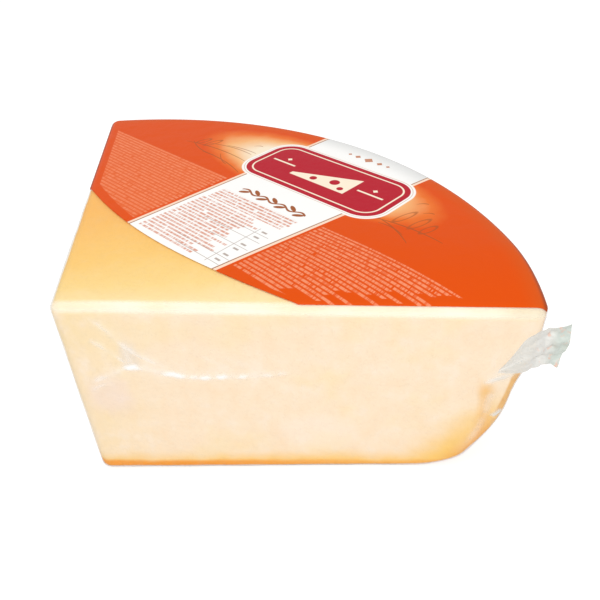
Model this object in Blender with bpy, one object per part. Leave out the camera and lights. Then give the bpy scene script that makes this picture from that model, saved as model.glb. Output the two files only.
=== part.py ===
"""A wedge of a large hard cheese, sealed in clear vacuum film: the wheel is cut into quarters, and each
quarter is split at half height.

Metres, +Z up. The piece lies on the wheel's flat rind face, with the cut face that carries the label on
top. Everything is modelled round the wheel's upright axis, which is the wedge's point. An empty then
moves the whole so that the origin is at the bottom centre of its box. +X runs along the front cut face
towards the rim, and +Y runs away from that face.
"""

from math import asin, cos, pi, radians, sin, sqrt

import bmesh
import bpy
from mathutils import Vector

# Driving dimensions of the wedge
RIM_RADIUS = 0.210
WEDGE_ANGLE = radians(97)
HEIGHT = 0.107
RIM_TAPER = 0.0295  # how far the rim curves in between the sawn top and the rind face
TAPER_POWER = 3
SHOULDER_REACH = 0.032  # where the rim turns into the flat rind face, from its edge inwards
SHOULDER_HEIGHT = 0.009
TOP_ROUND = 0.005
BASE_ROUND = 0.003
CORNER_ROUND = 0.006  # the three upright edges, seen from above

# The gathered corner of the bag, which stands out from the rim beside the front cut face. Each pair
# holds the value at its root and at its tip.
EAR_REACH = 0.0145  # past the rim
EAR_SINK = 0.016  # how deep the root starts inside the pack, so that the two join
EAR_TOP = (0.092, 0.0945)
EAR_FOOT = (0.060, 0.0725)
EAR_THICKNESS = (0.0100, 0.0016)
EAR_EDGE_SHARE = 0.5  # the thickness at its top and foot, as a share of that at its middle
EAR_SETBACK = (0.0090, 0.0040)  # behind the front cut face
EAR_RIPPLE = 0.0011
EAR_RIPPLE_WAVES = 1.5
EAR_SECTIONS = 7
EAR_ROWS = 9

# The printed label
LABEL_GAP = 0.0003
LABEL_THICK = 0.0003
LABEL_WRAP = radians(62)  # how far it follows the rounded top edge round
LABEL_REACH = 0.0615  # from the wheel's axis to its inner edge, along the wedge's middle
LABEL_INNER_RADIUS = 0.2905
LABEL_CUT_ROOM = 0.020  # how far its cutter stands out past the wedge
LABEL_EDGE_POINTS = 24

# Facets
ARC_STEPS = 44
FILLET_STEPS = 5
ROUND_STEPS = 4
SHOULDER_STEPS = 7
RIM_STEPS = 9
LEAST_STEP = 0.0002  # levels closer than this are taken as one
SHARP_ANGLE = radians(35)


def clear_scene():
    for old in list(bpy.data.objects):
        bpy.data.objects.remove(old)


def material(name, colour, roughness):
    made = bpy.data.materials.new(name)
    made.use_nodes = True
    shader = made.node_tree.nodes["Principled BSDF"]
    shader.inputs["Base Color"].default_value = (*colour, 1)
    shader.inputs["Roughness"].default_value = roughness
    shader.inputs["Metallic"].default_value = 0
    return made


def add_object(name, mesh, finish, parent):
    made = bpy.data.objects.new(name, mesh)
    bpy.context.scene.collection.objects.link(made)
    made.parent = parent
    mesh.materials.append(finish)
    mesh.shade_smooth()
    mesh.set_sharp_from_angle(angle=SHARP_ANGLE)
    return made


def on_circle(centre, radius, angle):
    return (centre[0] + radius * cos(angle), centre[1] + radius * sin(angle))


def sweep(centre, radius, start, end, steps):
    """Points of an arc, both ends included."""
    return [on_circle(centre, radius, start + (end - start) * i / steps) for i in range(steps + 1)]


def wedge_outline(rim_radius, cut_inset):
    """The wedge seen from above, anticlockwise: its two cut edges moved in by cut_inset, its rim at
    rim_radius, and its three corners rounded."""
    fillet = CORNER_ROUND - cut_inset
    reach = rim_radius - fillet
    lean = asin((cut_inset + fillet) / reach)
    point_distance = (cut_inset + fillet) / sin(WEDGE_ANGLE / 2)
    front_corner = on_circle((0, 0), reach, lean)
    back_corner = on_circle((0, 0), reach, WEDGE_ANGLE - lean)
    point = on_circle((0, 0), point_distance, WEDGE_ANGLE / 2)
    outline = sweep(front_corner, fillet, -pi / 2, lean, FILLET_STEPS)
    outline += sweep((0, 0), rim_radius, lean, WEDGE_ANGLE - lean, ARC_STEPS)[1:-1]
    outline += sweep(back_corner, fillet, WEDGE_ANGLE - lean, WEDGE_ANGLE + pi / 2, FILLET_STEPS)
    outline += sweep(point, fillet, WEDGE_ANGLE + pi / 2, 3 * pi / 2, FILLET_STEPS)
    return outline


def rounding(reach, depth, distance):
    """How far an elliptical rounding has drawn an edge in, at this distance from the flat face. It takes
    reach off that face and depth off the other."""
    if distance >= depth:
        return 0
    return reach * (1 - sqrt(1 - (1 - distance / depth) ** 2))


def rim_at(height):
    depth = HEIGHT - height
    taper = RIM_TAPER * (depth / HEIGHT) ** TAPER_POWER
    shoulder = rounding(SHOULDER_REACH, SHOULDER_HEIGHT, height)
    return RIM_RADIUS - taper - shoulder - rounding(TOP_ROUND, TOP_ROUND, depth)


def cut_inset_at(height):
    return rounding(BASE_ROUND, BASE_ROUND, height) + rounding(TOP_ROUND, TOP_ROUND, HEIGHT - height)


def rounding_levels(depth, steps):
    """Distances from the flat face that slice a rounding evenly."""
    return [depth * (1 - cos(pi / 2 * i / steps)) for i in range(steps + 1)]


def wedge_heights():
    """Levels at which the wedge is sliced: close together in its roundings, and even between them."""
    rim_length = HEIGHT - TOP_ROUND - SHOULDER_HEIGHT
    heights = rounding_levels(BASE_ROUND, ROUND_STEPS)
    heights += rounding_levels(SHOULDER_HEIGHT, SHOULDER_STEPS)
    heights += [SHOULDER_HEIGHT + rim_length * i / RIM_STEPS for i in range(1, RIM_STEPS)]
    heights += [HEIGHT - level for level in rounding_levels(TOP_ROUND, ROUND_STEPS)]
    heights.sort()
    return [h for i, h in enumerate(heights) if i == 0 or h - heights[i - 1] > LEAST_STEP]


def stack_rings(name, rings):
    """A closed mesh through rings of equal point count, the first and last capped."""
    bm = bmesh.new()
    layers = [[bm.verts.new(point) for point in ring] for ring in rings]
    for lower, upper in zip(layers, layers[1:]):
        for i, corner in enumerate(lower):
            j = (i + 1) % len(lower)
            bm.faces.new((corner, lower[j], upper[j], upper[i]))
    bm.faces.new(reversed(layers[0]))
    bm.faces.new(layers[-1])
    bmesh.ops.recalc_face_normals(bm, faces=bm.faces)
    mesh = bpy.data.meshes.new(name)
    bm.to_mesh(mesh)
    bm.free()
    return mesh


def ring_at(height, outline):
    return [Vector((x, y, height)) for x, y in outline]


def wedge_mesh():
    return stack_rings(
        "wedge",
        [ring_at(h, wedge_outline(rim_at(h), cut_inset_at(h))) for h in wedge_heights()],
    )


def between(ends, share):
    return ends[0] + (ends[1] - ends[0]) * share


def ear_ring(share):
    """One upright slice through the bag's ear, from its root at share 0 to its tip at 1."""
    x = RIM_RADIUS - EAR_SINK + (EAR_SINK + EAR_REACH) * share
    near = []
    far = []
    for i in range(EAR_ROWS):
        up = i / (EAR_ROWS - 1)
        z = between((between(EAR_FOOT, share), between(EAR_TOP, share)), up)
        middle = between(EAR_SETBACK, share) + EAR_RIPPLE * share * sin(2 * pi * up * EAR_RIPPLE_WAVES)
        half = between(EAR_THICKNESS, share) / 2 * between((EAR_EDGE_SHARE, 1), sin(pi * up))
        near.append(Vector((x, middle - half, z)))
        far.append(Vector((x, middle + half, z)))
    return near + far[::-1]


def ear_mesh():
    return stack_rings("ear", [ear_ring(i / (EAR_SECTIONS - 1)) for i in range(EAR_SECTIONS)])


def boolean(target, other, operation):
    """Keeps the other object as a hidden helper of the one it joins or trims."""
    other.hide_render = True
    other.display_type = "WIRE"
    modifier = target.modifiers.new(operation.capitalize(), "BOOLEAN")
    modifier.operation = operation
    modifier.solver = "EXACT"
    modifier.object = other


def add_pack(parent):
    """The sealed bag with the cheese in it, as one solid out to the film."""
    finish = material("film_on_cheese", (0.95, 0.80, 0.56), 0.28)
    pack = add_object("vacuum_pack", wedge_mesh(), finish, parent)
    ear = add_object("bag_ear", ear_mesh(), finish, parent)
    boolean(pack, ear, "UNION")
    return pack


def lid_ring(gap, turn):
    """A ring that lies gap off the wedge's rounded top edge, turn down from the flat top."""
    drop = (TOP_ROUND + gap) * cos(turn)
    spread = (TOP_ROUND + gap) * sin(turn)
    return ring_at(
        HEIGHT - TOP_ROUND + drop,
        wedge_outline(RIM_RADIUS - TOP_ROUND + spread, TOP_ROUND - spread),
    )


def lid_mesh():
    """A thin lid all over the wedge's top, which the label is cut from."""
    turns = [LABEL_WRAP * i / ROUND_STEPS for i in range(ROUND_STEPS + 1)]
    upper = [lid_ring(LABEL_GAP + LABEL_THICK, turn) for turn in turns]
    lower = [lid_ring(LABEL_GAP, turn) for turn in reversed(turns)]
    return stack_rings("label", upper + lower)


def label_cutter_mesh():
    """Upright prism over the label's plan: a shallow inner arc that bulges towards the wedge's point,
    a straight edge where the front rounding starts, and plenty of room past the other two sides."""
    middle = WEDGE_ANGLE / 2
    centre = on_circle((0, 0), LABEL_REACH + LABEL_INNER_RADIUS, middle)
    front_turn = pi + asin((centre[1] - TOP_ROUND) / LABEL_INNER_RADIUS)
    back_turn = 2 * middle + pi - asin((centre[1] + LABEL_CUT_ROOM) / LABEL_INNER_RADIUS)
    outline = sweep(centre, LABEL_INNER_RADIUS, back_turn, front_turn, LABEL_EDGE_POINTS)
    far = RIM_RADIUS + LABEL_CUT_ROOM
    outline += [(far, TOP_ROUND), (far, far), (-far, far)]
    return stack_rings(
        "label_cutter",
        [ring_at(HEIGHT - 2 * TOP_ROUND, outline), ring_at(HEIGHT + TOP_ROUND, outline)],
    )


def add_label(parent):
    finish = material("label_print", (0.79, 0.09, 0.006), 0.40)
    label = add_object("label", lid_mesh(), finish, parent)
    cutter = add_object("label_cutter", label_cutter_mesh(), finish, parent)
    boolean(label, cutter, "INTERSECT")
    return label


def stand_over_origin(anchor, parts):
    """Moves the empty that holds the parts, so that their box stands with its bottom centre at 0."""
    bpy.context.view_layer.update()
    graph = bpy.context.evaluated_depsgraph_get()
    corners = [
        part.matrix_world @ Vector(corner)
        for part in parts
        for corner in part.evaluated_get(graph).bound_box
    ]
    lowest = Vector(map(min, zip(*corners)))
    middle = (lowest + Vector(map(max, zip(*corners)))) / 2
    anchor.location = (-middle.x, -middle.y, -lowest.z)


def main():
    clear_scene()
    wheel_axis = bpy.data.objects.new("wheel_axis", None)
    bpy.context.scene.collection.objects.link(wheel_axis)
    pack = add_pack(wheel_axis)
    label = add_label(wheel_axis)
    stand_over_origin(wheel_axis, [pack, label])


main()
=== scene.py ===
# A wedge of hard cheese in clear vacuum film, with a printed label on top.
# Metres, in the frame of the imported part: +X along the front cut face, +Y away from it, +Z up.
import math

import bmesh
import bpy
import numpy as np
from mathutils import Matrix, Vector, noise


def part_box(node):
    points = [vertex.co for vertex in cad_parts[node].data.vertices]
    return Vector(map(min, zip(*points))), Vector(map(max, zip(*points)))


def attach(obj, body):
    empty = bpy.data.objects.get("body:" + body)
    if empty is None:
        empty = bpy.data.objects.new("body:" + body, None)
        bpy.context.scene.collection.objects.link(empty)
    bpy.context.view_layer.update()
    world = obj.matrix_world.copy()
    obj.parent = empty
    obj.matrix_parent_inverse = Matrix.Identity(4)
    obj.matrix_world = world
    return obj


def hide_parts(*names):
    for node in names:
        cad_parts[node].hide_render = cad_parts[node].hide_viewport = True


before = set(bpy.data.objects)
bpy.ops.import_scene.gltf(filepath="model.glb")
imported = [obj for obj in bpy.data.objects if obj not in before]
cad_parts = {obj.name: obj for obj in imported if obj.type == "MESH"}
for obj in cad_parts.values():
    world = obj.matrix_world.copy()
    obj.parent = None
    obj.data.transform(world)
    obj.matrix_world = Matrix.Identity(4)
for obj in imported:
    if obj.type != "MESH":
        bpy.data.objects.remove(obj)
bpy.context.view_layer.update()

mm = 0.001

# The wedge as it was cut. The film lies on this surface, and the cheese just inside it.
wedge = {
    "angle": math.radians(97),
    "rimRadius": 210 * mm,
    "height": 107 * mm,
    "rimTaper": 29.5 * mm,  # how far the rim curves in towards the rind face
    "taperPower": 3,
    "shoulderReach": 32 * mm,
    "shoulderHeight": 9 * mm,
    "topRound": 5 * mm,
    "baseRound": 3 * mm,
    "cornerRound": 6 * mm,
    "sagSlope": 0.040,  # how fast the top's front edge sinks towards the rim
    "sagStart": 18 * mm,
    "sagReach": 45 * mm,  # how far back from the edge that is felt, and how far down
    "sagDepth": 70 * mm,
    "pinch": 3.4 * mm,  # how far the rim is drawn in below the bag's gathered corner
    "pinchDepth": 50 * mm,
    "pinchReach": 17 * mm,
    "pinchTurn": math.radians(24),
}

halfAngle = wedge["angle"] / 2
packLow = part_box("vacuum_pack")[0]
backLean = wedge["angle"] - math.asin(
    wedge["cornerRound"] / (wedge["rimRadius"] - wedge["cornerRound"])
)
backReach = (wedge["rimRadius"] - wedge["cornerRound"]) * math.cos(backLean) - wedge["cornerRound"]
point = Vector((packLow[0] - backReach, packLow[1], 0))  # where the two cut faces would meet


def paint(red, green, blue):
    # a colour as it is seen on a screen, 0 to 255, to the linear one that a shader takes
    def linear(part):
        part = part / 255
        return part / 12.92 if part <= 0.04045 else ((part + 0.055) / 1.055) ** 2.4

    return (linear(red), linear(green), linear(blue), 1)


class Wire:
    # one socket of a material, so that shader maths reads as plain sums
    def __init__(self, tree, socket=None):
        self.tree = tree
        self.socket = socket

    def node(self, kind, settings, values, out=0):
        made = self.tree.nodes.new("ShaderNode" + kind)
        for name, value in settings.items():
            if name == "stops":
                ramp = made.color_ramp
                while len(ramp.elements) < len(value):
                    ramp.elements.new(0.5)
                for element, (place, colour) in zip(ramp.elements, value):
                    element.position = place
                    element.color = colour
            else:
                setattr(made, name, value)
        for name, value in values.items():
            if isinstance(value, Wire):
                self.tree.links.new(value.socket, made.inputs[name])
            else:
                made.inputs[name].default_value = value
        return Wire(self.tree, made.outputs[out] if made.outputs else None)

    def maths(self, operation, *others):
        return self.node("Math", {"operation": operation}, dict(enumerate((self, *others))))

    def __add__(self, other):
        return self.maths("ADD", other)

    __radd__ = __add__

    def __mul__(self, other):
        return self.maths("MULTIPLY", other)

    __rmul__ = __mul__

    def __sub__(self, other):
        return self.maths("SUBTRACT", other)

    def __rsub__(self, other):
        return self.node("Math", {"operation": "SUBTRACT"}, {0: other, 1: self})

    def __truediv__(self, other):
        return self.maths("DIVIDE", other)

    def __pow__(self, other):
        return self.maths("POWER", other)

    def __abs__(self):
        return self.maths("ABSOLUTE")

    def floor(self):
        return self.maths("FLOOR")

    def fraction(self):
        return self.maths("FRACT")

    def least(self, other):
        return self.maths("MINIMUM", other)

    def most(self, other):
        return self.maths("MAXIMUM", other)

    def rise(self, start, end):
        # 0 at start, 1 at end, smooth between, whichever of them is larger
        return self.node(
            "MapRange",
            {"interpolation_type": "SMOOTHSTEP"},
            {"Value": self, "From Min": start, "From Max": end},
        )

    def within(self, low, high, soft):
        # 1 between low and high, with soft edges
        return (self - low).rise(-soft, soft) * (self - high).rise(soft, -soft)

    def noise(self, scale, detail=2, out=0, roughness=0.5):
        values = {"Vector": self, "Scale": scale, "Detail": detail, "Roughness": roughness}
        return self.node("TexNoise", {}, values, out)

    def planeNoise(self, other, detail):
        # noise over the plane of two values
        pair = self.node("CombineXYZ", {}, {0: self, 1: other})
        values = {"Vector": pair, "Scale": 1, "Detail": detail}
        return self.node("TexNoise", {"noise_dimensions": "2D"}, values)

    def scaled(self, by):
        return self.node("VectorMath", {"operation": "MULTIPLY"}, {0: self, 1: by})

    def axes(self):
        return [self.node("SeparateXYZ", {}, {0: self}, i) for i in range(3)]

    def random(self, other):
        # an even random number for each pair of whole numbers
        pair = self.node("CombineXYZ", {}, {0: self, 1: other, 2: 0.5})
        return self.node("TexWhiteNoise", {"noise_dimensions": "3D"}, {"Vector": pair})

    def over(self, under, mask):
        # this colour laid over another where the mask is 1
        return self.node("Mix", {"data_type": "RGBA"}, {0: mask, 6: under, 7: self}, 2)


def newMaterial(name):
    made = bpy.data.materials.new(name)
    made.use_nodes = True
    made.node_tree.nodes.clear()
    return made, Wire(made.node_tree)


def finishMaterial(kit, shader):
    kit.node("OutputMaterial", {}, {"Surface": shader})


def place(kit):
    # position on the piece in millimetres from the wedge's point, as x, y and height
    spot = kit.node("TexCoord", {}, {}, 3)
    moved = kit.node("VectorMath", {"operation": "SUBTRACT"}, {0: spot, 1: point})
    return moved.scaled((1 / mm,) * 3)


def shadeNode(kit, shade):
    made = kit.node("RGB", {}, {})
    made.socket.default_value = paint(*shade)
    return made


# ---- shapes of the wedge


def rounding(reach, depth, distance):
    # how far an elliptical rounding draws an edge in at this distance from the flat face
    if distance >= depth:
        return 0
    return reach * (1 - math.sqrt(1 - (1 - distance / depth) ** 2))


def rimAt(height):
    depth = wedge["height"] - height
    taper = wedge["rimTaper"] * (depth / wedge["height"]) ** wedge["taperPower"]
    shoulder = rounding(wedge["shoulderReach"], wedge["shoulderHeight"], height)
    return wedge["rimRadius"] - taper - shoulder - rounding(wedge["topRound"], wedge["topRound"], depth)


def cutInsetAt(height):
    depth = wedge["height"] - height
    base = rounding(wedge["baseRound"], wedge["baseRound"], height)
    return base + rounding(wedge["topRound"], wedge["topRound"], depth)


def evenSteps(start, end, length):
    # whole steps of about that length, without the end
    count = max(1, round(abs(end - start) / length))
    return [start + (end - start) * i / count for i in range(count)]


def heightLevels(step, roundSteps):
    shoulder, top = wedge["shoulderHeight"], wedge["topRound"]
    turns = [1 - math.cos(math.pi / 2 * i / roundSteps) for i in range(roundSteps + 1)]
    levels = [shoulder * turn for turn in turns[:-1]]
    levels += evenSteps(shoulder, wedge["height"] - top, step)
    return levels + [wedge["height"] - top * turn for turn in reversed(turns)]


def onCircle(centre, radius, angle):
    return (centre[0] + radius * math.cos(angle), centre[1] + radius * math.sin(angle))


def arc(centre, radius, start, end, steps):
    return [onCircle(centre, radius, start + (end - start) * i / steps) for i in range(steps + 1)]


def straight(start, end, steps):
    # points between two corners, with neither of them
    return [
        (start[0] + (end[0] - start[0]) * i / steps, start[1] + (end[1] - start[1]) * i / steps)
        for i in range(1, steps)
    ]


def wedgeOutline(rim, inset, steps):
    # seen from above, anticlockwise from the front cut face's far end
    fillet = max(wedge["cornerRound"] - inset, 0.2 * mm)
    reach = rim - fillet
    lean = math.asin((inset + fillet) / reach)
    angle = wedge["angle"]
    tip = onCircle((0, 0), (inset + fillet) / math.sin(angle / 2), angle / 2)
    front = arc(onCircle((0, 0), reach, lean), fillet, -math.pi / 2, lean, steps["corner"])
    rimPart = arc((0, 0), rim, lean, angle - lean, steps["rim"])[1:-1]
    backCentre = onCircle((0, 0), reach, angle - lean)
    back = arc(backCentre, fillet, angle - lean, angle + math.pi / 2, steps["corner"])
    nose = arc(tip, fillet, angle + math.pi / 2, math.pi * 3 / 2, steps["corner"])
    backFace = straight(back[-1], nose[0], steps["back"])
    frontFace = straight(nose[-1], front[0], steps["front"])
    return front + rimPart + back + backFace + nose + frontFace


def settle(spots):
    # lowers the top's front edge a little towards the rim, and draws the rim in below the bag's ear
    along, back = spots[:, 0] - point.x, spots[:, 1] - point.y
    depth = wedge["height"] - spots[:, 2]
    drop = wedge["sagSlope"] * np.clip(along - wedge["sagStart"], 0, None)
    drop *= np.clip(1 - back / wedge["sagReach"], 0, 1) ** 2
    sunk = spots.copy()
    sunk[:, 2] -= drop * np.clip(1 - depth / wedge["sagDepth"], 0, 1)
    radius, turn = np.hypot(along, back), np.arctan2(back, along)
    pull = np.exp(-(((depth - wedge["pinchDepth"]) / wedge["pinchReach"]) ** 2))
    pull *= np.clip(1 - np.abs(turn) / wedge["pinchTurn"], 0, 1) ** 2 * smoothRise(radius / mm, 165, 195)
    sunk[:, 0] -= along / np.maximum(radius, mm) * pull * wedge["pinch"]
    sunk[:, 1] -= back / np.maximum(radius, mm) * pull * wedge["pinch"]
    return sunk


# the sizes of the rings inside a flat cap, as shares of its edge
capShares = (0.96, 0.92, 0.88, 0.84, 0.8, 0.75, 0.7, 0.64, 0.58, 0.5, 0.35, 0.15)


def towardsMiddle(ring):
    # smaller copies of a level ring, so that a flat cap can bend
    middle = sum(ring, Vector()) / len(ring)
    return [[middle + (corner - middle) * share for corner in ring] for share in capShares]


def ringsToMesh(name, rings):
    # closed skin through rings of equal point count
    bm = bmesh.new()
    layers = [[bm.verts.new(corner) for corner in ring] for ring in rings]
    for lower, upper in zip(layers, layers[1:]):
        for i in range(len(lower)):
            j = (i + 1) % len(lower)
            bm.faces.new((lower[i], lower[j], upper[j], upper[i]))
    bm.faces.new(layers[0][::-1])
    bm.faces.new(layers[-1])
    bmesh.ops.recalc_face_normals(bm, faces=bm.faces)
    mesh = bpy.data.meshes.new(name)
    bm.to_mesh(mesh)
    bm.free()
    return mesh


def wedgeMesh(name, skin, steps, levelStep, roundSteps):
    # the whole wedge, drawn in by skin on every side
    squeeze = (wedge["height"] - 2 * skin) / wedge["height"]
    rings = []
    for height in heightLevels(levelStep, roundSteps):
        outline = wedgeOutline(rimAt(height) - skin, cutInsetAt(height) + skin, steps)
        rings.append([point + Vector((x, y, skin + height * squeeze)) for x, y in outline])
    return ringsToMesh(name, rings + towardsMiddle(rings[-1]))


def addPiece(name, mesh, material, sharp=math.radians(40)):
    piece = bpy.data.objects.new(name, mesh)
    bpy.context.scene.collection.objects.link(piece)
    mesh.materials.append(material)
    mesh.shade_smooth()
    mesh.set_sharp_from_angle(angle=sharp)
    return piece


def readPoints(mesh):
    spots = np.empty(len(mesh.vertices) * 3)
    mesh.vertices.foreach_get("co", spots)
    normals = np.empty(len(mesh.vertices) * 3)
    mesh.vertex_normals.foreach_get("vector", normals)
    return spots.reshape(-1, 3), normals.reshape(-1, 3)


def writePoints(mesh, spots):
    mesh.vertices.foreach_set("co", spots.ravel())
    mesh.update()


def smoothRise(values, start, end):
    share = np.clip((values - start) / (end - start), 0, 1)
    return share * share * (3 - 2 * share)


def relief(spots, size, seed):
    # gentle unevenness of that size, about -1 to 1
    shift = Vector((seed * 0.37, seed * 0.61, seed * 0.83))
    return np.array([noise.noise(Vector(spot) / size + shift) for spot in spots])


# ---- the film's creases

# Each side of the pack is measured flat: a point's first number runs along the side and its second is
# the depth below the top, both in millimetres. A crease is a rounded line through its points, with its
# height, width, whiteness (hazy folded film with painted highlights) and puckers. Its glints are painted
# highlights: place, half length and strength.
creases = {
    "front": [
        {"line": [(8, 45), (14, 41.5), (20, 38.5), (29, 34.5), (36, 36), (45, 38.4), (53, 40.2),
                  (64, 40.8), (76, 40.2), (90, 39), (104, 37)],
         "high": 1.1, "wide": 1.6, "white": 0.9, "puckers": 0.5,
         "glints": [(14, 3, 0.5), (29.5, 3.6, 1), (48, 4.5, 0.95), (57, 2, 0.45), (62, 2.6, 0.75),
                    (69.5, 2.6, 0.8), (79, 1.8, 0.6), (90, 2, 0.35), (97, 2, 0.4)]},
        {"line": [(15, 5), (19, 9), (24, 15), (29, 22), (35, 28), (43, 33), (52, 36.5)],
         "high": 0.8, "wide": 1.6, "white": 0.5, "puckers": 0.15,
         "glints": [(20, 4, 0.35), (30, 3, 0.6), (36, 5, 0.4)]},
        {"line": [(14, 18), (18, 22), (23, 27), (28, 32.5)],
         "high": 0.7, "wide": 1.5, "white": 0.5, "puckers": 0.1,
         "glints": [(17, 3, 0.45), (27, 3, 0.5)]},
        {"line": [(28.5, 21), (29, 27), (29.5, 33)],
         "high": 0.6, "wide": 2.2, "white": 0.4, "puckers": 0,
         "glints": [(29, 2, 0.4)]},
        {"line": [(8, 49), (13, 46), (20, 43)],
         "high": 0.7, "wide": 1.4, "white": 0.4, "puckers": 0,
         "glints": [(13, 3, 0.4)]},
        {"line": [(57, 24), (62, 28), (68, 32), (74, 36.5)],
         "high": 0.35, "wide": 2.0, "white": 0.25, "puckers": 0,
         "glints": [(66, 5, 0.3)]},
        {"line": [(207, 22), (202, 29), (197, 35), (191, 42)],
         "high": 0.7, "wide": 1.9, "white": 0.6, "puckers": 0.2,
         "glints": [(199, 4, 0.6)]},
        {"line": [(206, 34), (201, 38), (196, 41), (190, 45)],
         "high": 0.9, "wide": 2.2, "white": 0.7, "puckers": 0.2,
         "glints": [(196, 5, 0.7)]},
        {"line": [(202, 48), (196, 52), (193.5, 60), (191, 72), (187, 84), (181, 97)],
         "high": 0.5, "wide": 3.0, "white": 0.5, "puckers": 0.2,
         "glints": [(194, 2, 0.5), (189, 3, 0.35)]},
        {"line": [(195, 69), (198, 66.5), (200, 64)],
         "high": 0.8, "wide": 1.5, "white": 0.9, "puckers": 0,
         "glints": [(198, 3, 0.8)]},
    ],
    "rim": [
        {"line": [(2, 30), (22, 31), (60, 33), (120, 32), (180, 34), (240, 32), (300, 33), (352, 30)],
         "high": 1.3, "wide": 1.7, "white": 0.42, "puckers": 0.5},
        {"line": [(3, 24), (14, 22), (30, 24), (52, 29)],
         "high": 0.8, "wide": 1.5, "white": 0.3, "puckers": 0.1},
        {"line": [(3, 36), (15, 41), (32, 43), (50, 39), (70, 34)],
         "high": 0.8, "wide": 1.5, "white": 0.3, "puckers": 0.1},
        {"line": [(90, 33), (104, 45), (112, 60), (115, 78)],
         "high": 0.6, "wide": 1.6, "white": 0.2, "puckers": 0.1},
        {"line": [(188, 34), (176, 48), (170, 66), (160, 84)],
         "high": 0.6, "wide": 1.6, "white": 0.2, "puckers": 0.1},
        {"line": [(262, 33), (272, 50), (276, 70)],
         "high": 0.6, "wide": 1.6, "white": 0.2, "puckers": 0.1},
        {"line": [(352, 30), (336, 42), (318, 50), (296, 54)],
         "high": 0.8, "wide": 1.5, "white": 0.28, "puckers": 0.1},
    ],
    "back": [
        {"line": [(6, 45), (18, 42), (31, 46), (52, 43), (78, 41), (104, 43), (136, 40), (170, 38),
                  (204, 31)],
         "high": 1.2, "wide": 1.6, "white": 0.5, "puckers": 0.35},
        {"line": [(12, 6), (20, 17), (30, 28), (44, 40)],
         "high": 0.8, "wide": 1.4, "white": 0.3, "puckers": 0.1},
        {"line": [(206, 22), (192, 28), (174, 30), (158, 36)],
         "high": 0.8, "wide": 1.5, "white": 0.34, "puckers": 0.15},
        {"line": [(204, 38), (190, 44), (182, 56), (180, 72)],
         "high": 0.7, "wide": 1.6, "white": 0.3, "puckers": 0.1},
    ],
}

film = {
    "steps": {"front": 280, "rim": 190, "back": 130, "corner": 9},
    "levelStep": 0.78 * mm,
    "roundSteps": 12,
    "slack": 0.22 * mm,  # unevenness of the skin as a whole
    "slackSize": 17 * mm,
    "earGrey": (226, 225, 219),
    "earCool": (190, 205, 195),
    "earWarm": (240, 186, 160),
    "gloss": 0.42,  # share of the mirror sheen that is kept
}


def smoothLine(corners, spacing):
    # a rounded line through the corners, as even points with their share of the way along
    corners = np.array(corners, float)
    ends = np.vstack([2 * corners[0] - corners[1], corners, 2 * corners[-1] - corners[-2]])
    found = []
    for a, b, c, d in zip(ends, ends[1:], ends[2:], ends[3:]):
        count = max(2, int(np.hypot(*(c - b)) / spacing))
        for t in np.arange(count) / count:
            found.append(0.5 * (2 * b + (c - a) * t + (2 * a - 5 * b + 4 * c - d) * t**2
                                + (3 * b - a - 3 * c + d) * t**3))
    found.append(corners[-1])
    return np.array(found)


def creaseField(side, along, depth):
    # height of the film's creases in metres and how white it is there, from haze and painted highlights,
    # at each place on a side
    height = np.zeros(len(along))
    white = np.zeros(len(along))
    for number, crease in enumerate(creases[side]):
        line = smoothLine(crease["line"], 0.6)
        near = np.flatnonzero(
            (along > line[:, 0].min() - 9) & (along < line[:, 0].max() + 9)
            & (depth > line[:, 1].min() - 9) & (depth < line[:, 1].max() + 9)
        )
        if not len(near):
            continue
        gaps = np.hypot(along[near, None] - line[:, 0], depth[near, None] - line[:, 1])
        closest = gaps.argmin(1)
        gap = gaps.min(1)
        run = np.arange(len(line)) * 0.6
        share = run / run[-1]
        taper = np.clip(np.minimum(share, 1 - share) * 6, 0, 1) ** 0.6
        if "glints" in crease:
            glint = np.zeros(len(line))
            for spot, half, strength in crease["glints"]:
                glint = np.maximum(glint, strength * np.exp(-(((line[:, 0] - spot) / half) ** 4)))
        else:
            beat = [noise.noise(Vector((r * 0.16, number * 3.7, 0.5))) for r in run]
            glint = np.clip(0.5 + 1.4 * np.array(beat), 0.08, 1)
        swell = 0.7 + 0.8 * np.array([noise.noise(Vector((r * 0.30, number * 1.3, 4.5))) for r in run])
        ripple = np.array([noise.noise(Vector((r * 0.55, number * 2.1, 8.5))) for r in run])
        ridge = np.exp(-((gap / (1.15 * crease["wide"])) ** 2))
        flank = np.exp(-((gap / (3.4 * crease["wide"])) ** 2))
        height[near] += mm * taper[closest] * (
            crease["high"] * ridge * swell[closest] + crease["puckers"] * flank * ripple[closest]
        )
        # painted highlights along the ridge, brightest at the glints, with a pale veil beside them
        shine = np.exp(-((gap / (crease["wide"] * (0.45 + 0.55 * glint[closest]))) ** 2))
        veil = 0.17 * np.exp(-((gap / (1.1 * crease["wide"])) ** 2))
        veil += 0.10 * np.exp(-((gap / (3.0 * crease["wide"])) ** 2))
        white[near] = np.maximum(
            white[near], crease["white"] * taper[closest] * (1.1 * shine * glint[closest] + veil)
        )
    return height, white


def sideMeasures(spots):
    # which side each place is on, and its place along that side in millimetres
    x, y = spots[:, 0] - point.x, spots[:, 1] - point.y
    fromBack = x * math.sin(wedge["angle"]) - y * math.cos(wedge["angle"])
    alongBack = x * math.cos(wedge["angle"]) + y * math.sin(wedge["angle"])
    radius = np.hypot(x, y)
    turn = np.arctan2(y, x)
    return {
        "front": (y, x),
        "back": (fromBack, alongBack),
        "rim": (radius, turn * wedge["rimRadius"]),
    }


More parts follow.
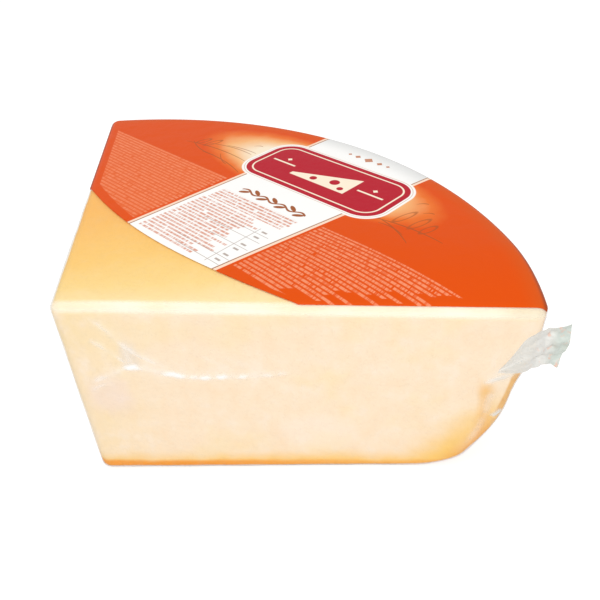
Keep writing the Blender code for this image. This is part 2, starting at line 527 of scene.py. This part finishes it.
def shapeFilm(mesh):
    # raises the creases, and notes in an attribute how white the film is, from its haze and from painted
    # highlights on the creases and the front top edge
    spots, normals = readPoints(mesh)
    depth = (wedge["height"] - spots[:, 2]) / mm
    measures = sideMeasures(spots)
    turn = np.arctan2(spots[:, 1] - point.y, spots[:, 0] - point.x)
    turned = {
        "front": -normals[:, 1],
        "back": -(normals[:, 0] * math.sin(wedge["angle"]) - normals[:, 1] * math.cos(wedge["angle"])),
        "rim": normals[:, 0] * np.cos(turn) + normals[:, 1] * np.sin(turn),
    }
    sideWays = np.abs(normals[:, 2]) < 0.9
    lift = film["slack"] * relief(spots, film["slackSize"], 1) * sideWays
    white = np.zeros(len(spots))
    for side in creases:
        facing = smoothRise(turned[side], 0.45, 0.8)
        if side == "rim":
            facing *= smoothRise(measures[side][0] / mm, 150, 170)
        high, pale = creaseField(side, measures[side][1] / mm, depth)
        lift += high * facing
        white = np.maximum(white, pale * facing)
    # a painted highlight: the film is laid pale along the front top edge
    highlightBand = smoothRise(-normals[:, 1], 0.02, 0.5) * smoothRise(normals[:, 2], 0.02, 0.6) * (depth < 9)
    wave = 0.8 + 0.3 * relief(spots, 14 * mm, 5)
    white = np.maximum(white, 0.55 * highlightBand * wave)
    writePoints(mesh, settle(spots + normals * lift[:, None]))
    haze = mesh.attributes.new("haze", "FLOAT", "POINT")
    haze.data.foreach_set("value", white)


# The gathered corner of the bag. The outline's points are millimetres along the front face and below
# the top, from the root to the ragged tip and back.
ear = {
    "upper": [(193, 38.6), (195.5, 34.5), (198.5, 28), (202, 20.5), (207.5, 17.6), (214.5, 18.8),
              (221.6, 17.2)],
    "lower": [(193, 40.6), (198, 41.2), (204, 40.8), (209, 39.4), (213.5, 38.6), (217, 39.6),
              (220, 41.2)],
    "tipBulge": 1.3,
    "rows": 46,
    "columns": 56,
    "setBack": (-0.4, 4.0),  # behind the front face, root and tip
    "folds": 0.6,
    "crumple": 0.6,
    "thick": 0.22 * mm,
    "haze": 0.70,
}


def earMesh():
    upper = smoothLine(ear["upper"], 0.5)
    lower = smoothLine(ear["lower"], 0.5)
    rows, columns = ear["rows"], ear["columns"]

    def along(line, share):
        at = share * (len(line) - 1)
        low = min(int(at), len(line) - 2)
        return line[low] + (line[low + 1] - line[low]) * (at - low)

    layers = {1: [], -1: []}
    for j in range(columns):
        share = j / (columns - 1)
        top, foot = along(upper, share), along(lower, share)
        for i in range(rows):
            up = i / (rows - 1)
            x, depth = foot + (top - foot) * up
            x += ear["tipBulge"] * share**6 * math.sin(math.pi * up)
            x += 0.35 * share**4 * noise.noise(Vector((up * 9, 3.1, 0)))
            back = ear["setBack"][0] + (ear["setBack"][1] - ear["setBack"][0]) * smoothRise(x, 203, 216)
            free = float(smoothRise(x, 201, 213))
            fold = math.sin(up * 10 + 1.5 * math.sin(share * 5)) + 0.35 * math.sin(up * 23 + share * 4)
            back += ear["folds"] * (0.25 + 0.75 * free) * fold
            back += ear["crumple"] * free * noise.noise(Vector((x * 0.33, depth * 0.33, 1.7))) * 2
            for face in layers:
                spot = Vector((x * mm, back * mm + face * ear["thick"] / 2, 0))
                layers[face].append(point + spot + Vector((0, 0, wedge["height"] - depth * mm)))
    bm = bmesh.new()
    sheets = {face: [bm.verts.new(spot) for spot in spots] for face, spots in layers.items()}
    for j in range(columns - 1):
        for i in range(rows - 1):
            corners = [j * rows + i, j * rows + i + 1, (j + 1) * rows + i + 1, (j + 1) * rows + i]
            for sheet in sheets.values():
                bm.faces.new([sheet[corner] for corner in corners])
    rimOf = list(range(rows)) + [j * rows + rows - 1 for j in range(1, columns)]
    rimOf += [(columns - 1) * rows + i for i in reversed(range(rows - 1))]
    rimOf += [j * rows for j in reversed(range(1, columns - 1))]
    near, far = sheets[-1], sheets[1]
    for a, b in zip(rimOf, rimOf[1:] + rimOf[:1]):
        bm.faces.new((near[a], near[b], far[b], far[a]))
    bmesh.ops.recalc_face_normals(bm, faces=bm.faces)
    mesh = bpy.data.meshes.new("ear")
    bm.to_mesh(mesh)
    bm.free()
    spots, _ = readPoints(mesh)
    haze = mesh.attributes.new("haze", "FLOAT", "POINT")
    streak = relief(spots * (1, 1, 2.2), 5 * mm, 9)
    nearRoot = smoothRise(-spots[:, 0], -104 * mm, -90 * mm)
    haze.data.foreach_set("value", np.clip(ear["haze"] + 0.16 * streak - 0.3 * nearRoot, 0.2, 0.95))
    return mesh


def filmMaterial():
    made, kit = newMaterial("clearFilm")
    spot = place(kit)
    # how hazy the film is, with its painted highlights on the creases and the front top edge
    haze = kit.node("Attribute", {"attribute_name": "haze"}, {}, 2)
    x = spot.axes()[0]
    cloud = spot.noise(0.16, 3)
    veil = haze + 0.03 * cloud.rise(0.45, 0.75)
    # grey where the film is gathered into the ear, with faint warm and cool tints
    tint = spot.noise(0.28, 2)
    milk = shadeNode(kit, (255, 254, 252))
    milk = shadeNode(kit, film["earGrey"]).over(milk, x.rise(186, 197))
    milk = shadeNode(kit, film["earCool"]).over(milk, x.rise(212, 219) * 0.75)
    milk = shadeNode(kit, film["earWarm"]).over(milk, x.rise(205, 212) * tint.rise(0.44, 0.32) * 0.75)
    ripples = spot.scaled((0.5, 0.5, 1)).noise(0.5, 2) * 0.7 + spot.noise(1.6, 1) * 0.12
    bump = kit.node("Bump", {}, {"Strength": 0.5, "Distance": 0.0012, "Height": ripples})
    body = kit.node("BsdfPrincipled", {}, {"Base Color": milk, "Roughness": 0.32, "Normal": bump})
    clear = kit.node("BsdfTransparent", {}, {})
    sheet = kit.node("MixShader", {}, {0: veil.least(0.96), 1: clear, 2: body})
    gloss = kit.node("BsdfAnisotropic", {}, {"Roughness": 0.16, "Normal": bump})
    mirror = kit.node("Fresnel", {}, {"IOR": 1.4, "Normal": bump}) * film["gloss"]
    finishMaterial(kit, kit.node("MixShader", {}, {0: mirror, 1: sheet, 2: gloss}))
    return made


def joinInto(target, other):
    # adds the other mesh to the target, attributes and all
    bm = bmesh.new()
    bm.from_mesh(target)
    bm.from_mesh(other)
    bm.to_mesh(target)
    bm.free()
    bpy.data.meshes.remove(other)


def makeFilm():
    mesh = wedgeMesh("film", 0, film["steps"], film["levelStep"], film["roundSteps"])
    shapeFilm(mesh)
    joinInto(mesh, earMesh())
    piece = addPiece("film", mesh, filmMaterial())
    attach(piece, "root")
    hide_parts("vacuum_pack")
    piece.visible_shadow = False  # clear film takes no light from the cheese
    piece.visible_diffuse = False
    print("film:", len(mesh.polygons), "faces")


# ---- the cheese

cheese = {
    "skin": 0.45 * mm,  # inside the film
    "steps": {"front": 130, "rim": 150, "back": 110, "corner": 7},
    "levelStep": 1.7 * mm,
    "roundSteps": 8,
    "relief": 0.14 * mm,
    "paste": (253, 230, 200),
    "yellow": (252, 204, 106),  # low down and towards the rim
    "baseOrange": (247, 160, 52),
    # a painted highlight along the front top edge
    "paintedHighlight": (255, 250, 238),
    "rind": (238, 186, 112),
}


def cheeseMaterial():
    made, kit = newMaterial("hardCheese")
    spot = place(kit)
    x, y, height = spot.axes()
    behind = (1 - y * (mm / wedge["sagReach"])).most(0).least(1)
    sunk = (x - wedge["sagStart"] / mm).most(0) * behind * behind * wedge["sagSlope"]
    depth = wedge["height"] / mm - height - sunk
    radius = (x * x + y * y) ** 0.5
    share = depth / (wedge["height"] / mm)
    rimGap = wedge["rimRadius"] / mm - share**3 * (wedge["rimTaper"] / mm) - radius
    waver = spot.noise(0.06, 2) - 0.5

    # the paste, in soft clouds with a fine grain
    broad = spot.noise(0.028, 3)
    clouds = spot.scaled((1, 1, 0.7)).noise(0.09, 3, roughness=0.6)
    grain = spot.noise(0.75, 3, roughness=0.65)
    body = shadeNode(kit, cheese["paste"])
    body = shadeNode(kit, (252, 222, 186)).over(body, clouds.rise(0.48, 0.70) * 0.45)
    body = shadeNode(kit, (254, 236, 214)).over(body, clouds.rise(0.50, 0.30) * 0.6)
    body = shadeNode(kit, (252, 226, 172)).over(body, broad.rise(0.50, 0.70) * 0.45)
    body = shadeNode(kit, (240, 208, 170)).over(body, grain.rise(0.60, 0.76) * 0.12)
    body = shadeNode(kit, (255, 243, 224)).over(body, grain.rise(0.40, 0.28) * 0.16)

    # it is yellower by the wedge's point, and towards the rind
    towardsPoint = x.rise(48, 2)
    nearPoint = towardsPoint * clouds.rise(0.2, 0.6) * (0.45 + 0.4 * depth.rise(44, 10))
    body = shadeNode(kit, (250, 224, 172)).over(body, nearPoint)
    low = (height + waver * 8).rise(15, 3)
    lowRight = (rimGap + waver * 14 - depth * 0.34).rise(14, -14) * depth.rise(38, 72)
    yellow = low.most(lowRight)
    body = shadeNode(kit, cheese["yellow"]).over(body, yellow * 0.96)
    column = (rimGap + depth * 0.29 + waver * 4).within(28.5, 34, 3) * depth.within(42, 96, 6)
    body = shadeNode(kit, (244, 184, 82)).over(body, column * 0.85)
    amber = (rimGap + waver * 6 - depth * 0.06).rise(14, -2) * depth.rise(54, 78)
    body = shadeNode(kit, (238, 160, 56)).over(body, amber * 0.9)
    orange = (height + waver * 3 + x * 0.012).rise(8.4, 5.2)
    body = shadeNode(kit, cheese["baseOrange"]).over(body, orange * (1 - 0.45 * x.rise(40, 150)))

    # a painted highlight: the cheese is pale along the front top edge, under the film's painted one
    highlightBand = depth.within(0.4, 3.5, 1.3) * y.within(-3, 3.8, 1.4)
    body = shadeNode(kit, cheese["paintedHighlight"]).over(body, highlightBand * 0.85)

    # painted shade, greyish and pinkish, beside the film's creases, and a paler patch lower on the front
    # face
    fold = ((x - 29.5) / 5.5) ** 2 + ((depth - 28 + waver * 4) / 10) ** 2
    body = shadeNode(kit, (230, 214, 198)).over(body, fold.rise(1.2, 0) * 0.5)
    fold = ((x - 16 - waver * 10) / 13) ** 2 + ((depth - 54 + waver * 12) / 16) ** 2
    body = shadeNode(kit, (246, 222, 210)).over(body, fold.rise(1.3, 0) * 0.5)
    # a paler patch lower on the front face
    fold = ((x - 112 + waver * 12) / 22) ** 2 + ((depth - 76) / 14) ** 2
    body = shadeNode(kit, (255, 238, 220)).over(body, fold.rise(1.2, 0.1) * 0.5)

    # the flat top is deeper in colour away from the front
    stops = [(0, paint(253, 225, 166)), (0.14, paint(252, 216, 138)), (0.4, paint(253, 204, 112)),
             (1, paint(252, 187, 90))]
    slope = y + spot.noise(0.05, 2) * 16 - 8 - 0.12 * x
    topTone = kit.node("ValToRGB", {"stops": stops}, {0: slope / 84})
    body = topTone.over(body, depth.rise(5.5, 1.5))

    # the rind round the rim and under the base
    blotch = spot.noise(0.07, 4, roughness=0.65)
    scuffs = spot.scaled((1, 1, 5)).noise(0.22, 3)
    rind = shadeNode(kit, cheese["rind"])
    rind = shadeNode(kit, (246, 203, 134)).over(rind, blotch.rise(0.50, 0.68))
    rind = shadeNode(kit, (222, 160, 84)).over(rind, blotch.rise(0.48, 0.32) * 0.8)
    rind = shadeNode(kit, (206, 146, 80)).over(rind, scuffs.rise(0.60, 0.74) * 0.45)
    pinched = depth.within(28, 72, 10) * y.rise(84, 30) * 7.5
    onRind = (rimGap - pinched).rise(2.4, 0.9).most(height.rise(1.4, 0.7))
    body = rind.over(body, onRind)

    pits = spot.noise(0.55, 4, roughness=0.7)
    uneven = grain * 0.4 + pits.rise(0.34, 0.5) * 0.6 + blotch * onRind
    bump = kit.node("Bump", {}, {"Strength": 0.28, "Distance": 0.0007, "Height": uneven})
    values = {"Base Color": body, "Roughness": 0.5 + 0.25 * grain, "Normal": bump}
    finishMaterial(kit, kit.node("BsdfPrincipled", {}, values))
    return made


def makeCheese():
    levelStep, roundSteps = cheese["levelStep"], cheese["roundSteps"]
    mesh = wedgeMesh("cheese", cheese["skin"], cheese["steps"], levelStep, roundSteps)
    spots, normals = readPoints(mesh)
    uneven = relief(spots, 13 * mm, 2) + 0.5 * relief(spots, 4 * mm, 3)
    uneven *= np.abs(normals[:, 2]) < 0.9
    writePoints(mesh, settle(spots + normals * (cheese["relief"] * uneven)[:, None]))
    piece = addPiece("cheese", mesh, cheeseMaterial())
    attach(piece, "root")
    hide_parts("vacuum_pack")
    print("cheese:", len(mesh.polygons), "faces")


# ---- the label

label = {
    "gap": 0.12 * mm,
    "thick": 0.2 * mm,
    "frontEdge": 3 * mm,  # behind the front cut face
    "wrap": math.radians(62),
    "reach": 61.5 * mm,  # from the wedge's point to its inner edge
    "innerRadius": 290.5 * mm,
    "cutRoom": 20 * mm,
    "steps": {"front": 30, "rim": 180, "back": 30, "corner": 12},
    "wrapSteps": 10,
    "arcSteps": 90,
    "sharp": math.radians(50),
    "orange": (226, 80, 0),
    "pale": (251, 222, 198),
    "ink": (150, 88, 52),
    "plaque": (186, 24, 44),
    "paper": (253, 252, 249),
    "smallPrint": (252, 172, 132),
    # the print sits a little askew on the sheet: its own x and y from the sheet's x, y and 1
    "printX": (1.029, -0.0076, -2.2),
    "printY": (0.0213, 1.026, -0.9),
    "plaqueCentre": (11, 166.5),  # across and up from the wedge's point, in millimetres
    "plaqueHalf": (49, 22.5),
    "plaqueCorner": 13,
}


def labelMesh():
    # a thin lid over the top and its roundings, cut to the label's plan
    top, gap = wedge["topRound"], label["gap"]

    def lidRing(lift, turn):
        spread = (top + lift) * math.sin(turn)
        height = wedge["height"] - top + (top + lift) * math.cos(turn)
        outline = wedgeOutline(wedge["rimRadius"] - top + spread, top - spread, label["steps"])
        return [point + Vector((x, y, height)) for x, y in outline]

    turns = [label["wrap"] * i / label["wrapSteps"] for i in range(label["wrapSteps"] + 1)]
    upper = [lidRing(gap + label["thick"], turn) for turn in turns]
    lower = [lidRing(gap, turn) for turn in reversed(turns)]
    rings = towardsMiddle(upper[0])[::-1] + upper + lower + towardsMiddle(lower[-1])
    mesh = ringsToMesh("label_sheet", rings)
    lid = addPiece("label_sheet", mesh, labelMaterial(), label["sharp"])

    centre = onCircle((0, 0), label["reach"] + label["innerRadius"], halfAngle)
    frontTurn = math.pi + math.asin((centre[1] - label["frontEdge"]) / label["innerRadius"])
    backTurn = 2 * halfAngle + math.pi - math.asin((centre[1] + label["cutRoom"]) / label["innerRadius"])
    plan = arc(centre, label["innerRadius"], backTurn, frontTurn, label["arcSteps"])
    far = wedge["rimRadius"] + label["cutRoom"]
    plan += [(far, label["frontEdge"]), (far, far), (-far, far)]
    lowest, highest = wedge["height"] - 2 * top, wedge["height"] + top
    rings = [[point + Vector((x, y, z)) for x, y in plan] for z in (lowest, highest)]
    cutter = bpy.data.objects.new("labelCutter", ringsToMesh("labelCutter", rings))
    bpy.context.scene.collection.objects.link(cutter)
    cut = lid.modifiers.new("cut", "BOOLEAN")
    cut.operation = "INTERSECT"
    cut.solver = "EXACT"
    cut.object = cutter
    graph = bpy.context.evaluated_depsgraph_get()
    done = bpy.data.meshes.new_from_object(lid.evaluated_get(graph))
    lid.modifiers.clear()
    lid.data = done
    writePoints(done, settle(readPoints(done)[0]))
    bpy.data.objects.remove(cutter)
    return lid


def textRows(up, across, rows):
    # lines of unreadable print: rows, broken into words of uneven length
    row = (up / rows["pitch"]).floor()
    rise = (up / rows["pitch"]).fraction()
    line = rise.within(0.2, 0.78, 0.12)
    chance = row.random(rows["seed"])
    bent = across + (across * 0.22).planeNoise(row * 7.3, 1) * rows["word"] * 2.2
    words = (bent / rows["word"] + chance * 9).fraction().within(0.07, 1.1, 0.04)
    letters = (across * 1.1).planeNoise(row * 5.1, 2).rise(0.36, 0.56)
    end = rows["end"] - chance * rows["ragged"]
    inside = (across - rows["start"]).rise(-0.3, 0.3) * (across - end).rise(0.3, -0.3)
    return line * words * (0.35 + 0.65 * letters) * inside * up.within(*rows["span"], 0.2)


def stroke(up, across, start, end, bend, wide):
    # a thin drawn line between two (across, up) points, bowed by bend, thinner towards its ends
    share = (across - start[0]) / (end[0] - start[0])
    bow = share * (1 - share) * (4 * bend)
    line = share * (end[1] - start[1]) + start[1] + bow
    slant = math.hypot(end[0] - start[0], end[1] - start[1]) / abs(end[0] - start[0])
    thick = (share * (1 - share)).most(0) ** 0.5 * (2 * wide * slant)
    return (abs(up - line) - thick * 0.5).rise(0.28 * slant, -0.05) * share.within(0, 1, 0.01)


def roundedBox(up, across, centre, half, corner):
    # distance outside a rounded rectangle, below 0 inside it
    dx = (abs(across - centre[0]) - (half[0] - corner)).most(0)
    dy = (abs(up - centre[1]) - (half[1] - corner)).most(0)
    return (dx * dx + dy * dy) ** 0.5 - corner


def labelMaterial():
    made, kit = newMaterial("labelPrint")
    spot = place(kit)
    x, y, _ = spot.axes()
    printX, printY = [x * a + y * b + c for a, b, c in (label["printX"], label["printY"])]
    up = printX * math.cos(halfAngle) + printY * math.sin(halfAngle)
    across = printX * math.sin(halfAngle) - printY * math.cos(halfAngle)
    radius = (x * x + y * y) ** 0.5
    flutter = spot.noise(0.08, 2) - 0.5

    # orange, fading to cream round the plaque
    wide = (across + 2 - across.rise(10, -40) * 4) / 99
    tall = (up - 168) / 37
    glow = (wide * wide + tall * tall) ** 0.5 + flutter * 0.10
    stops = [(0, paint(253, 243, 226)), (0.50, paint(252, 234, 206)), (0.66, paint(248, 186, 124)),
             (0.80, paint(237, 118, 44)), (0.93, paint(*label["orange"]))]
    base = kit.node("ValToRGB", {"stops": stops}, {0: glow})
    # painted shade: the orange is darker towards the rim, where the sheet turns down
    rimShade = (radius + flutter * 3).rise(197, 210)
    base = shadeNode(kit, (206, 96, 34)).over(base, rimShade * 0.55)

    # brown pen strokes of hills and trees on both sides of the plaque
    pen = None
    drawn = [
        ((-92, 149), (-40, 152), 3.0, 0.5), ((-72, 145), (-32, 139), 2.5, 0.45),
        ((-78, 156), (-44, 161), 2.4, 0.5), ((-66, 161), (-43, 164), 1.2, 0.45),
        ((-88, 152), (-62, 146), -2.5, 0.4), ((-60, 150), (-46, 142), -1.5, 0.35),
        ((57, 148), (99, 150), 2.4, 0.55), ((60, 150), (86, 139), 2.0, 0.5),
        ((64, 146), (80, 144), 1.5, 0.4), ((68, 174), (73, 178), 1.0, 0.4),
        ((76, 168), (81, 171), 1.0, 0.4), ((-52, 171), (-47, 174), 1.0, 0.4),
    ]
    for start, end, bend, thick in drawn:
        line = stroke(up, across, start, end, bend, thick)
        pen = line if pen is None else pen.most(line)
    for treeAcross, treeUp, treeHalf in ((71, 159, 7.5), (80.5, 158, 7), (87, 156, 5.5),
                                         (-83, 156, 5), (-76, 158, 6)):
        lean = across - treeAcross - (up - treeUp) * 0.22
        tall = (up - treeUp) / treeHalf
        crown = ((lean / 1.9) * (lean / 1.9) + tall * tall) ** 0.5
        pen = pen.most(crown.within(0.84, 1.16, 0.14) * 0.85)
    base = shadeNode(kit, (158, 84, 38)).over(base, pen * 0.72)

    # rows of small print on the orange
    paleInk = shadeNode(kit, label["smallPrint"])
    backEdge = up * -math.tan(halfAngle) + 5.5
    frontEdge = up * math.tan(halfAngle) - 6
    fromArc = up - (label["reach"] + label["innerRadius"]) / mm
    arcGap = label["innerRadius"] / mm - (fromArc * fromArc + across * across) ** 0.5
    clearOfArc = arcGap.rise(3.6, 4.4)
    leftLine = -31 + 0.058 * (up - 62)
    rightLine = 30.5 + 0.170 * (up - 62)
    leftRows = {"pitch": 2.56, "word": 11, "seed": 3, "start": backEdge, "end": leftLine - 4,
                "ragged": 1.5, "span": (66, 130.2)}
    rightRows = {"pitch": 2.56, "word": 10, "seed": 8, "start": rightLine + 4.5, "end": frontEdge,
                 "ragged": 15, "span": (72, 124.5)}
    small = textRows(up, across, leftRows).most(textRows(up, across, rightRows))
    base = paleInk.over(base, small * clearOfArc * 0.64)
    wash = across.rise(-30, -40) * up.within(66, 130, 0.5) * (across - backEdge).rise(-1, 1) * clearOfArc
    base = shadeNode(kit, (238, 118, 62)).over(base, wash * 0.45)

    # the white band between its brown and pale lines
    fromLeft, fromRight = across - leftLine, rightLine - across
    inBand = fromLeft.least(fromRight)
    base = shadeNode(kit, label["pale"]).over(base, inBand.rise(-2.9, -2.6))
    base = shadeNode(kit, label["ink"]).over(base, inBand.within(-1.0, -0.3, 0.18) * 0.9)
    paper = shadeNode(kit, label["paper"])
    # painted shade: the paper greys towards the rim, where the sheet turns down
    paper = shadeNode(kit, (226, 226, 224)).over(paper, radius.rise(192, 208))
    base = paper.over(base, inBand.rise(-0.35, -0.1))

    # what is printed in the band: rows, a small table and two ornaments
    onBand = inBand.rise(-0.1, 0.2)
    column = {"pitch": 2.5, "word": 9, "seed": 5, "start": leftLine + 3, "end": rightLine - 11,
              "ragged": 15, "span": (65, 107)}
    header = {"pitch": 2.5, "word": 9, "seed": 6, "start": leftLine + 4.5, "end": rightLine - 5,
              "ragged": 5, "span": (108.5, 120.5)}
    rows = textRows(up, across, column).most(textRows(up, across, header))
    base = shadeNode(kit, (212, 120, 78)).over(base, rows * onBand * 0.8)
    rules = across.within(23.4, 23.8, 0.12) * up.within(66, 103, 0.2)
    for ruleUp, ruleStart in ((98.5, 2), (92.5, -8), (84.5, 6), (73.2, -6), (67.6, 0)):
        rules = rules.most(up.within(ruleUp, ruleUp + 0.35, 0.1) * across.within(ruleStart, 33, 0.3))
    for markUp in (100.6, 95.0, 86.4, 81.4, 75.0, 69.8):
        rules = rules.most(up.within(markUp, markUp + 1.3, 0.2) * across.within(26, 29.5, 0.4))
    base = shadeNode(kit, (168, 150, 140)).over(base, rules * onBand * 0.85)
    # a vine: a wavy stem with a leaf on each side in turn
    span = across.within(-15, 32, 0.3)
    beat = (across + 15) * (math.tau / 13.4)
    stem = abs(up - 126.6 - 1.4 * beat.maths("SINE")).rise(0.85, 0.5)
    step = ((across + 15) / 6.7).fraction() - 0.5
    side = beat.maths("SINE").maths("SIGN")
    leafUp = (up - 126.6) * side + 1.8 - step * 3.4
    leaf = ((step * 6.7 / 2.9) ** 2 + (leafUp / 1.5) ** 2).rise(1.1, 0.85)
    base = shadeNode(kit, (164, 92, 50)).over(base, stem.most(leaf) * span * onBand)
    dots = None
    for dotAcross, dotSize in ((2, 1.2), (8, 1.9), (16, 3.0), (24, 1.9), (30, 1.2)):
        dot = (abs(across - dotAcross) + abs(up - 200.5)).rise(dotSize + 0.3, dotSize)
        dots = dot if dots is None else dots.most(dot)
    base = shadeNode(kit, (196, 120, 78)).over(base, dots * onBand * 0.9)

    # the plaque: a plain rounded panel with a cream line and a cheese wedge on it
    centre = label["plaqueCentre"]
    outside = roundedBox(up, across, centre, label["plaqueHalf"], label["plaqueCorner"])
    base = shadeNode(kit, (254, 251, 246)).over(base, outside.rise(3.2, 2.6))
    base = shadeNode(kit, (200, 160, 130)).over(base, outside.within(1.1, 1.6, 0.15) * 0.6)
    base = shadeNode(kit, label["plaque"]).over(base, outside.rise(0.35, 0))
    cream = outside.within(-4.1, -3.1, 0.18)
    sideways, above = across - centre[0], up - centre[1]
    slope = sideways * 0.42 + 2.6 - above
    wedgeMark = (above + 9).rise(0, 0.5) * (20 - sideways).rise(0, 0.5) * slope.rise(0, 0.5)
    wedgeMark = wedgeMark * (sideways + 20).rise(0, 0.5)
    for holeAcross, holeUp, holeSize in ((8, -1, 2.8), (-5, -4.5, 2.0), (15, -5, 1.7)):
        hx, hy = sideways - holeAcross, above - holeUp
        wedgeMark = wedgeMark * ((hx * hx + hy * hy) ** 0.5).rise(holeSize, holeSize + 0.4)
    for side in (-1, 1):
        bar = abs(sideways - side * 32).rise(9, 8.2) * abs(above).rise(0.9, 0.5)
        cream = cream.most(bar)
        pip = (abs(sideways - side * 32) + abs(above - 5)).rise(1.9, 1.5)
        cream = cream.most(pip)
    cream = cream.most(wedgeMark)
    base = shadeNode(kit, (253, 238, 214)).over(base, cream)

    # painted shade: the sheet is darker where it turns down over the edges
    backGap = x * math.sin(wedge["angle"]) - y * math.cos(wedge["angle"])
    turned = radius.rise(206.4, 208.6).most(backGap.rise(3.0, 1.2))
    base = shadeNode(kit, (140, 62, 28)).over(base, turned * 0.7)

    waves = spot.scaled((1, 1, 0)).noise(0.07, 2) + 0.10 * spot.noise(0.9, 2)
    bump = kit.node("Bump", {}, {"Strength": 0.35, "Distance": 0.0012, "Height": waves})
    rough = 0.36 + 0.12 * spot.noise(0.5, 2)
    values = {"Base Color": base, "Roughness": rough, "Normal": bump, "Specular IOR Level": 0.1}
    finishMaterial(kit, kit.node("BsdfPrincipled", {}, values))
    return made


def makeLabel():
    piece = labelMesh()
    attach(piece, "root")
    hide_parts("label")
    print("label:", len(piece.data.polygons), "faces")


# ---- floor, light and camera

stage = {
    "floorSize": 6,
    "world": 0.72,
    "lamps": [
        # name, place, aim, size, watts
        ("overhead", (-0.15, -0.15, 0.95), (0, 0, 0.05), 0.8, 2.2),
        ("frontFill", (0.25, -1.15, 0.55), (0, 0, 0.05), 0.9, 3.9),
    ],
}

# where the camera stands from the wedge's top point, and how it is turned
camera = {
    "from": (112.85 * mm, -201.26 * mm, 154.60 * mm),
    "down": math.radians(37.26),
    "left": math.radians(1.99),
    "roll": math.radians(-2.03),
    "lens": 37.20,
    "sensor": 36,
}


def brightRay(kit):
    # 1 for the camera's rays and those let through to it
    seen = kit.node("LightPath", {}, {}, "Is Camera Ray")
    return seen.most(kit.node("LightPath", {}, {}, "Is Transmission Ray"))


def makeFloor():
    made, kit = newMaterial("floorWhite")
    plain = kit.node("BsdfDiffuse", {}, {"Color": paint(235, 235, 235)})
    shown = kit.node("BsdfDiffuse", {}, {"Color": (0.42, 0.42, 0.42, 1)})
    glow = kit.node("Emission", {}, {"Color": (1, 1, 1, 1), "Strength": 0.74})
    both = kit.node("AddShader", {}, {0: shown, 1: glow})
    finishMaterial(kit, kit.node("MixShader", {}, {0: brightRay(kit), 1: plain, 2: both}))
    half = stage["floorSize"] / 2
    mesh = bpy.data.meshes.new("floor")
    corners = [(-half, -half, 0), (half, -half, 0), (half, half, 0), (-half, half, 0)]
    mesh.from_pydata(corners, [], [(0, 1, 2, 3)])
    mesh.materials.append(made)
    floor = bpy.data.objects.new("floor", mesh)
    bpy.context.scene.collection.objects.link(floor)
    floor.location.z = packLow[2] - 0.2 * mm


def makeWorld():
    world = bpy.data.worlds.new("studio")
    world.use_nodes = True
    world.node_tree.nodes.clear()
    kit = Wire(world.node_tree)
    lit = kit.node("Background", {}, {"Color": (1, 1, 1, 1), "Strength": stage["world"]})
    seen = kit.node("Background", {}, {"Color": (1, 1, 1, 1), "Strength": 1})
    mixed = kit.node("MixShader", {}, {0: brightRay(kit), 1: lit, 2: seen})
    kit.node("OutputWorld", {}, {"Surface": mixed})
    bpy.context.scene.world = world


def makeLamps():
    for name, spot, aim, size, watts in stage["lamps"]:
        data = bpy.data.lights.new(name, "AREA")
        data.shape = "DISK"
        data.size = size
        data.energy = watts
        lamp = bpy.data.objects.new(name, data)
        bpy.context.scene.collection.objects.link(lamp)
        lamp.location = spot
        lamp.rotation_euler = (Vector(spot) - Vector(aim)).to_track_quat("Z", "Y").to_euler()


def makeCamera():
    down, left, roll = camera["down"], camera["left"], camera["roll"]
    ahead = Vector((-math.sin(left) * math.cos(down), math.cos(left) * math.cos(down), -math.sin(down)))
    level = Vector((math.cos(left), math.sin(left), 0))
    below = ahead.cross(level)
    right = level * math.cos(roll) - below * math.sin(roll)
    up = -(level * math.sin(roll) + below * math.cos(roll))
    data = bpy.data.cameras.new("camera")
    data.lens = camera["lens"]
    data.sensor_width = camera["sensor"]
    data.clip_start = 10 * mm
    eye = bpy.data.objects.new("camera", data)
    bpy.context.scene.collection.objects.link(eye)
    spot = point + Vector((0, 0, wedge["height"])) + Vector(camera["from"])
    eye.matrix_world = Matrix.Translation(spot) @ Matrix((right, up, -ahead)).transposed().to_4x4()
    bpy.context.scene.camera = eye


makeCheese()
makeFilm()
makeLabel()
makeFloor()
makeWorld()
makeLamps()
makeCamera()
bpy.context.scene.view_settings.view_transform = "Standard"
print("stage: floor, world, lamps and camera")
